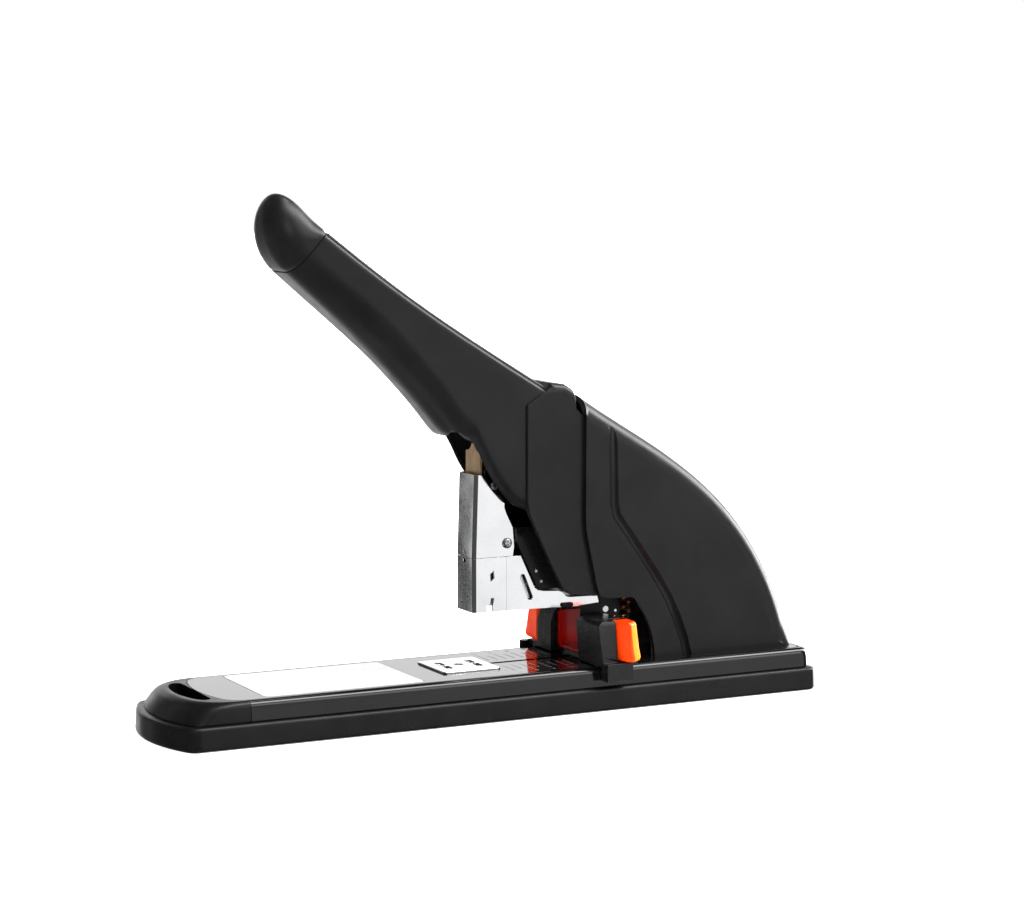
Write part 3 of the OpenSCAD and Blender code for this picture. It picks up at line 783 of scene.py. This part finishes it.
def make_core():
    """Steel core inside the handle: two cheeks joined along their top, bored for the hinge."""
    top = [(-60, 177.5), (-30, 157), (-2, 136), (12, 119.5), (40, 114)]
    below = [(56, 104), (73, 92), (73, 84), (64, 76), (50, 74), (30, 86), (8, 98), (-8, 119),
             (-36, 149), (-55, 168)]
    parts = [carve(cheek, cylinder("cutter", (62, -30, 88), (0, 1, 0), 4.05, 60))
             for cheek in plates("cheek", top + below, 11.0, 12.6)]
    strip = top + [(x, z - 2) for x, z in reversed(top)]
    parts.append(prism("web", strip, -11.2, 11.2))
    core = soften(join("handle_core_steel", parts), 0.25, 2)
    piece(shade(core), "handle", "plate_steel", ["handle_core"])


def make_cap():
    """End cap: a loft along the handle's axis that closes in a dome."""
    outline = [cubic(TIP_TOP, i / 30) for i in range(31)] + [cubic(TIP_END, i / 40) for i in range(1, 41)]
    seam_top, seam_foot = Vector(TIP_TOP[0]), Vector(TIP_END[3])
    across = (seam_foot - seam_top).normalized()
    axis = Vector((across.y, -across.x))
    if axis.x > 0:
        axis = -axis
    depth = max((p - seam_top).dot(axis) for p in outline)

    def chord(d):
        hits = []
        for a, b in zip(outline, outline[1:]):
            da, db = (a - seam_top).dot(axis), (b - seam_top).dot(axis)
            if (da - d) * (db - d) <= 0 and abs(db - da) > 1e-9:
                hits.append(a.lerp(b, (d - da) / (db - da)))
        hits.sort(key=lambda p: (p - seam_top).dot(across))
        return hits[0], hits[-1]

    rounding, half = depth - 1.0, HANDLE_HALF - 0.2
    rings = []
    for k in range(27):
        d = depth * math.sin(math.pi / 2 * k / 26) * 0.9985
        d = max(d, 0.12)
        top, foot = chord(d)
        inner = max(0, (d - (depth - rounding)) / rounding)
        width = half * (1 - inner ** 2.2) ** 0.5 + 0.02
        near_seam = 0.35 if k == 0 else 0
        rings.append(section(top, foot, width, ramp(d, [(0, 4.6), (6, 9.5), (30, 14)]),
                             ramp(d, [(0, 14.5), (30, 15)]), inset=near_seam,
                             crown=ramp(d, [(0, 0.9), (8, 2.2), (30, 2.6)])))
    cap = loft("handle_cap_body", rings)
    piece(shade(cap, 50, False), "handle", "grip_black", ["handle_cap"])


COLLAR = [(12.8, 123.3), (21.5, 128.4), (24.2, 131.8), (30.5, 131), (34.2, 128.7), (35, 121),
          (44, 113.5), (62, 103), (76, 89), (68, 66), (58, 50), (50, 45), (43.6, 44.6),
          (33.2, 45.7), (29, 48.3), (23.5, 58.5), (13.8, 79.6), (12.8, 85)]


def make_collar():
    """Skirt of the handle that runs into the rear cover."""
    collar = prism("handle_collar_body", COLLAR, -COLLAR_HALF, COLLAR_HALF)
    bm = bmesh.new()
    bm.from_mesh(collar.data)
    roof = []
    for e in bm.edges:
        a, b = (v.co / MM for v in e.verts)
        level = abs(a.y - b.y) < 0.1
        if level and min(a.z, b.z) > 128 and min(a.x, b.x) > 20 and max(a.x, b.x) < 35:
            roof.append(e)
    bmesh.ops.bevel(bm, geom=roof, offset=3.2 * MM, segments=6, profile=0.5, affect="EDGES",
                    clamp_overlap=True)
    bm.to_mesh(collar.data)
    bm.free()
    soften(collar, 0.6, 3, 28)
    inner = COLLAR_HALF - WALL
    hollow = [(0, 0), (0, 118), (12, 121.5), (22, 126.5), (25, 129.3), (30.3, 128.6), (33, 127),
              (34.5, 135), (100, 135), (100, 0)]
    carve(collar, through(hollow, inner))
    piece(shade(collar, 35), "handle", "shell_black", ["handle_collar"])


# ---- magazine

def bent_sheet(name, front, back, z_low, z_high, half, thick, bend, lean=0.0):
    """U-shaped sheet: two sides joined by a front wall, with round bends."""
    def ring(z):
        shift = lean * (z - z_low) / (z_high - z_low)
        x0 = front + shift
        outer = [(back, half)] + arc(x0 + bend, half - bend, bend, 90, 180, 6)
        inner_r = max(bend - thick, 0.15)
        inner = [(back, half - thick)] + arc(x0 + thick + inner_r, half - thick - inner_r, inner_r,
                                            90, 180, 6)
        loop = outer + [(x, -y) for x, y in reversed(outer)]
        back_loop = inner + [(x, -y) for x, y in reversed(inner)]
        return [(x, y, z) for x, y in loop + list(reversed(back_loop))]

    steps = 8
    return loft(name, [ring(z_low + (z_high - z_low) * i / steps) for i in range(steps + 1)])


def make_head():
    head = bent_sheet("magazine_head_sheet", head_lo.x, head_hi.x, head_lo.z, head_hi.z, MAG_HALF,
                      1.1, 1.5)
    notch = [(-0.9, 38), (1.9, 38), (1.9, 42.6), (2.6, 45.4), (1.2, 45.6), (0.7, 43), (-0.9, 42.4)]
    window = [(1.0, 52.2), (2.7, 53.6), (2.4, 56.6), (0.7, 55.2)]
    crown = [(-1.9, 63), (-1.9, 61.2), (0, 59.2), (1.9, 61.2), (1.9, 63)]
    carve(head, through(notch), through(window),
          cylinder("cutter", (-9, 3.4, 43.4), (1, 0, 0), 0.95, 5, 24),
          prism("cutter", crown, -12, -4, "yz"))
    soften(head, 0.14, 2, 40)
    piece(shade(head, 40), "magazine", "head_chrome", ["magazine_head"])


def make_housing():
    housing = bent_sheet("driver_housing_sheet", housing_lo.x, housing_hi.x + 1, housing_lo.z,
                         housing_hi.z, MAG_HALF, 1.1, 1.5, lean=1.0)
    outline = [(-9, 61), (10.8, 61), (11.5, 65.7), (10.9, 73.5), (8.0, 79.4), (7.2, 81.6),
               (7.2, 86.3), (5.6, 89.6), (4.4, 93.2), (2.6, 94.4), (1.0, 93.8), (0.2, 95.2),
               (-0.9, 96), (-9, 96)]
    carve(housing, through(outline), operation="INTERSECT")
    tab = [(-1.7, 61), (-1.7, 62.1), (0, 64.6), (1.7, 62.1), (1.7, 61)]
    carve(housing, prism("cutter", tab, -12, -4, "yz"))
    soften(housing, 0.14, 2, 40)
    piece(shade(housing, 40), "magazine", "head_chrome", ["driver_housing"])
    outline = [(-1.6, 59.4), (0, 61.6), (0, 64.2), (-1.6, 61.8)]
    tips = [prism("head_crown", [(side * y, z) for y, z in outline], head_lo.x + 0.1, head_lo.x + 1.0,
                  "yz") for side in (1, -1)]
    piece(shade(join("head_crown_tab", tips)), "magazine", "head_chrome")


SIDE_PLATE = [(8, 40), (50, 39.1), (57.5, 41.6), (72, 41.6), (88, 30), (94, 24.5), (100, 22),
              (105, 24.2), (107, 29), (104.5, 33.6), (100, 36), (80, 48), (66, 50.6), (64.9, 50),
              (64.9, 46), (52, 43.2), (37.2, 43.4), (35.4, 43.8), (33.4, 45.8), (31.7, 46.4),
              (25, 46.8), (22.4, 47.3), (20.9, 48.4), (14.6, 61.9), (8, 61.9)]


def make_channel():
    slot = slanted_slot(17.1, 48.9, 11.4, 2.3, 22)
    sides = [carve(plate, through(slot),
                   cylinder("cutter", (100, -20, 29), (0, 1, 0), 3.05, 40))
             for plate in plates("side", SIDE_PLATE, MAG_HALF - 1.0, MAG_HALF - 0.15)]
    floor_line = [(8, 40), (50, 39.1), (57.5, 41.6), (72, 41.6), (88, 30)]
    strip = floor_line + [(x, z + 1.1) for x, z in reversed(floor_line)]
    sides.append(prism("floor", strip, -MAG_HALF + 0.6, MAG_HALF - 0.6))
    channel = join("magazine_channel_sheet", sides)
    soften(channel, 0.14, 2, 25)
    piece(shade(channel, 30), "magazine", "head_chrome", ["magazine_channel"])


def slanted_slot(cx, cz, length, width, lean):
    """Outline of a slot with round ends, leaning from the vertical by lean degrees."""
    r = width / 2
    reach = length / 2 - r
    outline = arc(0, reach, r, 0, 180, 8) + arc(0, -reach, r, 180, 360, 8)
    a = math.radians(lean)
    return [(cx + x * math.cos(a) + z * -math.sin(a), cz + x * math.sin(a) + z * math.cos(a))
            for x, z in outline]


HOOD = [(14.9, 62.2), (11.8, 69), (12, 72.4), (12.6, 73.4), (22, 73.2), (40, 69), (64, 60), (64, 46.5),
        (52, 44.2), (37, 44.6), (35.6, 45), (33.6, 47), (31.8, 47.6), (22.8, 48.4), (21.4, 49)]
SKIRT = [(52, 46), (49.5, 44.1), (50.6, 40.2), (41.5, 39.6), (41.5, 35.3), (50.6, 35.3), (52.2, 34.4),
         (59, 34.4), (60.2, 36), (60.2, 41.2), (64, 41.6), (64, 47)]


def make_hood():
    """Black cover over the staples, chamfered along its top, with a skirt round the cross pin."""
    out = HOOD_HALF
    top_line = [(x, z) for x, z in HOOD if z > 57 and x != 14.9 and x != 11.8]
    hood = prism("magazine_hood", HOOD, -out, out)
    wedges = []
    for side in (-1, 1):
        wedge = [(x, side * y, z - drop) for x, z in [(5, 73.5)] + top_line + [(70, 57.5)]
                 for y, drop in ((out - 1.7, -0.01), (out + 1, 7.0))]
        low, high = wedge[0::2], wedge[1::2]
        roof_low = [(x, y, z + 9) for x, y, z in low]
        roof_high = [(x, y, z + 16) for x, y, z in high]
        wedges.append(loft("cutter", [low + roof_low[::-1], high + roof_high[::-1]]))
    carve(hood, *wedges)
    soften(hood, 0.35, 2, 30)
    inner = out - 1.9
    hollow = [(0, 30), (0, 66), (12.6, 68), (13.6, 71), (22, 70.6), (41, 66), (62, 57.5), (70, 55),
              (70, 30)]
    carve(hood, through(hollow, inner))
    parts = [hood]
    parts += [soften(plate, 0.12, 2)
              for plate in plates("skirt", SKIRT, MAG_HALF + 0.02, MAG_HALF + 0.48)]
    piece(shade(join("magazine_hood_body", parts)), "magazine", "cover_black", ["magazine_cover"])
    rivets = []
    for x, z in ((19.6, 55.4), (21.9, 51.0)):
        for side in (-1, 1):
            rivets.append(cylinder("rivet", (x + 1.2, side * (out - 0.3), z), (0, side, 0), 0.8, 0.8, 24,
                                   0.3))
    piece(shade(join("hood_rivets", rivets)), "magazine", "screw_steel")


def make_screws():
    """Pan heads with a cross recess on the driver housing."""
    outline = [(-1.5, 94), (-1.5, 97.2), (-0.2, 97.7), (0.8, 96.8), (1.4, 95.4), (3.2, 92)]
    wings = join("housing_side_wings", plates("wing", outline, MAG_HALF - 1.05, MAG_HALF - 0.3))
    soften(wings, 0.12, 2)
    piece(shade(wings), "magazine", "head_chrome")
    heads = []
    for x, z, r in ((8.3, 67.4, 2.15), (3.0, 90.9, 1.75)):
        for side in (-1, 1):
            start = MAG_HALF - 0.3
            rings = []
            for d, radius in ((0, r), (0.55, r), (0.95, r * 0.86), (1.15, r * 0.6), (1.2, 0.05)):
                rings.append([(x + radius * math.cos(a), side * (start + d), z + radius * math.sin(a))
                              for a in circle(36)])
            head = loft("head", rings)
            y0, y1 = sorted((side * (start + 0.75), side * (start + 3)))
            bars = [box_cutter((x - w, y0, z - h), (x + w, y1, z + h))
                    for w, h in ((0.28, r * 0.55), (r * 0.55, 0.28))]
            carve(head, *bars)
            heads.append(head)
    piece(shade(join("housing_screw_heads", heads), 30), "magazine", "screw_steel",
          ["housing_screws"])


def make_cross_pin():
    x, z = (pin_lo.x + pin_hi.x) / 2, (pin_lo.z + pin_hi.z) / 2
    pin = cylinder("magazine_cross_pin", (x, -pin_hi.y, z), (0, 1, 0), 1.55, 2 * pin_hi.y, 36, 0.3)
    small = cylinder("stop_pin", (x + 4.6, -pin_hi.y, z - 0.9), (0, 1, 0), 0.75,
                     2 * pin_hi.y, 24, 0.2)
    piece(shade(join("magazine_cross_pins", [pin, small])), "magazine", "pin_steel",
          ["magazine_pin"])
    outline = rounded_box((32.8, 39.5), (38.2, 41.3), 0.85)
    stops = join("magazine_stop_caps", plates("cap", outline, MAG_HALF - 0.2, MAG_HALF + 0.75))
    soften(stops, 0.25, 3, 50)
    piece(shade(stops), "magazine", "cover_black")


def make_blade():
    half, tip = blade_hi.y, blade_hi.z
    outline = [(-half, blade_lo.z), (half, blade_lo.z), (half, tip - 3.4), (3.4, tip - 2.8),
               (2.3, tip - 1.9), (0.9, tip - 0.25), (0.4, tip), (-0.4, tip), (-0.9, tip - 0.25),
               (-2.3, tip - 1.9), (-3.4, tip - 2.8), (-half, tip - 3.4)]
    blade = prism("driver_blade_body", outline, blade_lo.x, blade_hi.x, "yz")
    soften(blade, 0.12, 2, 20)
    piece(shade(blade), "driver", "blade_steel", ["driver_blade"])


def make_lift_spring():
    """Helix under the magazine, with a mesh of its own."""
    r, wire, turns = 3.2, 0.62, 7.5
    cx = (lift_lo.x + lift_hi.x) / 2
    bottom, top = lift_lo.z + wire, lift_hi.z - wire
    steps = int(turns * 28)
    rings = []
    for k in range(steps + 1):
        share = k / steps
        eased = ramp(share, [(0, 0), (0.12, 0.03), (0.88, 0.97), (1, 1)])
        a = 2 * math.pi * turns * share
        centre = Vector((cx + r * math.cos(a), r * math.sin(a), bottom + (top - bottom) * eased))
        out = Vector((math.cos(a), math.sin(a), 0))
        rings.append([centre + out * wire * math.cos(b) + Vector((0, 0, wire * math.sin(b)))
                      for b in circle(10)])
    spring = loft("lift_spring_coil", rings)
    piece(shade(spring, 60, False), "base", "spring_copper", ["lift_spring"])
    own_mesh(spring)


# ---- paper guide

GUIDE_MID = 46.5
BUTTON_L = 7.9


def turned(points):
    """The same points after half a turn about the guide's middle."""
    return [(2 * GUIDE_MID - x, -y, z) for x, y, z in points]


def guide_half(place):
    """One tower with its deck clip; place maps near-side points to either side."""
    levels = [(17.9, 39.3, 32.3), (22, 39.0, 31.6), (30, 38.4, 30.6), (34.4, 38.1, 30.0), (36, 39.8, 29.4)]
    rings = []
    for z, x, y in levels:
        rear = 55 if z < 33 else 55 - (z - 33) * 1.1
        rings.append(place([(x, -10.9, z), (rear, -10.9, z), (rear, -y, z), (x, -y, z)]))
    tower = loft("tower", rings)

    def brick(x, y, z):
        corners = [(x[0], y[0]), (x[1], y[0]), (x[1], y[1]), (x[0], y[1])]
        return loft("part", [place([(a, b, c) for a, b in corners]) for c in z])

    clip = brick((39.7, 51.4), (-35, -DECK_HALF - 0.4), (12.4, 19.6))
    saddle = brick((39.7, 51.4), (-DECK_HALF - 1.5, -DECK_HALF + 3), (17.9, 19.6))
    pocket = brick((GUIDE_MID - 0.3, 62), (-44, -button_in), (19.9, 44))
    carve(tower, pocket)
    carve(tower, clip, saddle, operation="UNION")
    return tower


def make_guide():
    """Black slide of the paper guide: two towers, a low bridge and clips round the deck edge."""
    parts = [guide_half(list), guide_half(turned)]
    parts.append(prism("bridge", [(41, 17.9), (52, 17.9), (52, 19.7), (41.6, 19.7)], -11, 11))
    parts.append(prism("arm", rounded_box((34.9, 31.2), (43, 34.8), 1.7), 15.9, 19.3, "xy"))
    guide = join("guide_slide_body", parts)
    soften(guide, 0.4, 3, 30)
    piece(shade(guide), "guide", "guide_black", ["guide_body"])


def make_guide_liner():
    walls = [prism("floor", [(41, 19.8), (52, 19.8), (52, 21.2), (41, 21.2)], -10.8, 10.8)]
    walls += plates("wall", [(41, 19.8), (52, 19.8), (52, 34.6), (50.9, 35.5), (42.2, 35.5), (41, 34)],
                    8.9, 10.85)
    liner = join("guide_liner", walls)
    soften(liner, 0.3, 3)
    piece(shade(liner), "guide", "guide_red", ["guide_core"])


def make_button(name, place, body, node):
    """Squeeze button: flat front, a facet towards its outer side, a flare at its foot."""
    out = button_out
    levels = [(20.2, out - 1.6, 0.7), (21.0, out - 0.3, 0.25), (22.2, out - 0.2, 0.0), (25, out - 1.4, 0.0),
              (30, out - 2.6, 0.1), (35.0, out - 3.4, 0.3), (35.95, out - 4.4, 0.9)]
    front, rear = GUIDE_MID + 0.15, GUIDE_MID + BUTTON_L - 0.15
    rings = []
    for z, y, pinch in levels:
        lean = ramp(z, [(20, 0), (36, 0.5)])
        outline = [(front + pinch - lean, -25.6), (front + pinch - lean, -y + 5.5),
                   (front + pinch - lean + 0.5, -y + 3.6), (front + 2.6, -y + 0.25), (front + 3.2, -y),
                   (front + 3.9, -y + 0.1), (rear - pinch - 0.3, -y + 2.0), (rear - pinch, -y + 2.6),
                   (rear - pinch, -25.6)]
        rings.append(place([(x, max(yy, -out), z) for x, yy in outline]))
    button = loft(name, rings)
    soften(button, 0.3, 3, 30)
    piece(shade(button, 40), body, "button_orange", [node])


# ---- carried-over CAD nodes

def dress_cad_nodes():
    slots = {s["node"]: s["material_slot"] for s in frame["record"]["subparts"]}
    for name, obj in frame["nodes"].items():
        if obj.hide_render:
            continue
        obj.data.materials.clear()
        obj.data.materials.append(MATERIALS[slots[name]])


# ---- stage, light, camera

def make_stage():
    """Pale paper that glows a little, so that it stays white right to the horizon."""
    n = new_material("stage_paper")
    n.surface(n.cloud(3, 2), ((0.90, 0.90, 0.90), (0.92, 0.92, 0.92)), None, 0.9,
              Specular_IOR_Level=0.1, Emission_Color=(1, 1, 1, 1), Emission_Strength=1.0)
    floor = mesh_object("floor", [(-6000, -6000, -0.05), (6000, -6000, -0.05), (6000, 6000, -0.05),
                                  (-6000, 6000, -0.05)], [(0, 1, 2, 3)])
    floor.data.materials.append(n.owner)
    floor.visible_glossy = False


def aimed(name, data, place, direction):
    """Puts a light or camera in the scene, looking along a direction."""
    obj = new_object(name, data)
    obj.location = place
    obj.rotation_mode = "QUATERNION"
    obj.rotation_quaternion = direction.to_track_quat("-Z", "Y")
    return obj


def area_light(name, place, aim, size, power):
    light = bpy.data.lights.new(name, "AREA")
    light.shape = "RECTANGLE"
    light.size, light.size_y = size
    light.energy = power
    aimed(name, light, place, Vector(aim) - Vector(place))


def make_light():
    """A white backdrop behind, a soft panel at the right front, dark elsewhere, a strip overhead."""
    world = bpy.data.worlds.new("studio")
    bpy.context.scene.world = world
    n = Nodes(world)

    def fade(value, start, end, low, high):
        return n.spread(value, low, high, start, end, interpolation_type="SMOOTHSTEP")

    def facing(aim, start, end, high):
        """Light from within an angle of aim; start and end are cosines."""
        inputs = {0: n.coords["Generated"], 1: Vector(aim).normalized()}
        dot = n.add("ShaderNodeVectorMath", inputs, operation="DOT_PRODUCT").outputs["Value"]
        return fade(dot, start, end, 0, high)

    x, y, z = n.add("ShaderNodeSeparateXYZ", {0: n.coords["Generated"]}).outputs
    backdrop = n.calc("MULTIPLY", fade(x, -0.22, 0.0, 0, 1.4), fade(y, -0.1, 0.3, 0, 1))
    backdrop = n.calc("MULTIPLY", backdrop, fade(z, 0.30, 0.50, 1, 0))
    panel = facing((0.60, -0.80, -0.02), 0.88, 0.985, 1.05)
    high_panel = facing((0.46, -0.74, 0.48), 0.95, 0.99, 3.5)
    arch_axis = Vector((-0.391, 0.868, 0.304))
    arch = n.calc("SUBTRACT", facing(arch_axis, -0.38, -0.26, 1), facing(arch_axis, -0.02, 0.10, 1))
    arch = n.calc("MULTIPLY", arch, fade(x, 0.0, 0.3, 0, 12.0))
    streak = n.calc("MULTIPLY", fade(x, -0.54, -0.49, 0, 1), fade(x, -0.47, -0.43, 1, 0))
    streak = n.calc("MULTIPLY", streak, fade(y, 0.2, 0.5, 0, 0.8))
    total = n.calc("ADD", n.calc("MAXIMUM", backdrop, panel), streak)
    total = n.calc("ADD", total, n.calc("ADD", high_panel, arch))
    total = n.calc("ADD", total, 0.07)
    seen = n.add("ShaderNodeLightPath", {}).outputs["Is Camera Ray"]
    total = n.calc("ADD", n.calc("MULTIPLY", total, n.calc("SUBTRACT", 1.0, seen)), seen)
    background = n.add("ShaderNodeBackground", {"Color": total})
    n.add("ShaderNodeOutputWorld", {0: background.outputs[0]})
    area_light("overhead", (0.10, -0.06, 1.25), (0.02, 0, 0.08), (1.3, 0.30), 7)
    area_light("front_fill", (-0.75, -1.15, 0.75), (0, 0, 0.08), (0.4, 0.4), 3.0)


def make_camera():
    """Camera of the calibrated view: azimuth, elevation and distance from a target."""
    azimuth, elevation, distance = math.radians(-26.76), math.radians(6.38), 1.10388
    target = Vector((0.01452, 0, 0.10181))
    back = Vector((math.sin(azimuth) * math.cos(elevation), -math.cos(azimuth) * math.cos(elevation),
                   math.sin(elevation)))
    data = bpy.data.cameras.new("camera")
    data.sensor_width = 36
    data.lens = 96.32
    data.clip_start, data.clip_end = 0.01, 100
    bpy.context.scene.camera = aimed("camera", data, target + back * distance, -back)


# ---- build

make_camera()
bpy.context.scene.view_settings.view_transform = "Standard"
make_light()
make_stage()

for make in (make_shoe, make_pads, make_deck, make_nose, make_label, make_anvil, make_scale, make_dome,
             make_shell, make_inlay, make_core, make_cap, make_collar, make_head, make_housing,
             make_channel, make_hood, make_screws, make_cross_pin, make_blade, make_lift_spring,
             make_guide, make_guide_liner):
    make()
make_button("guide_button_near", list, "button_left", "guide_button_left")
make_button("guide_button_far", turned, "button_right", "guide_button_right")
dress_cad_nodes()
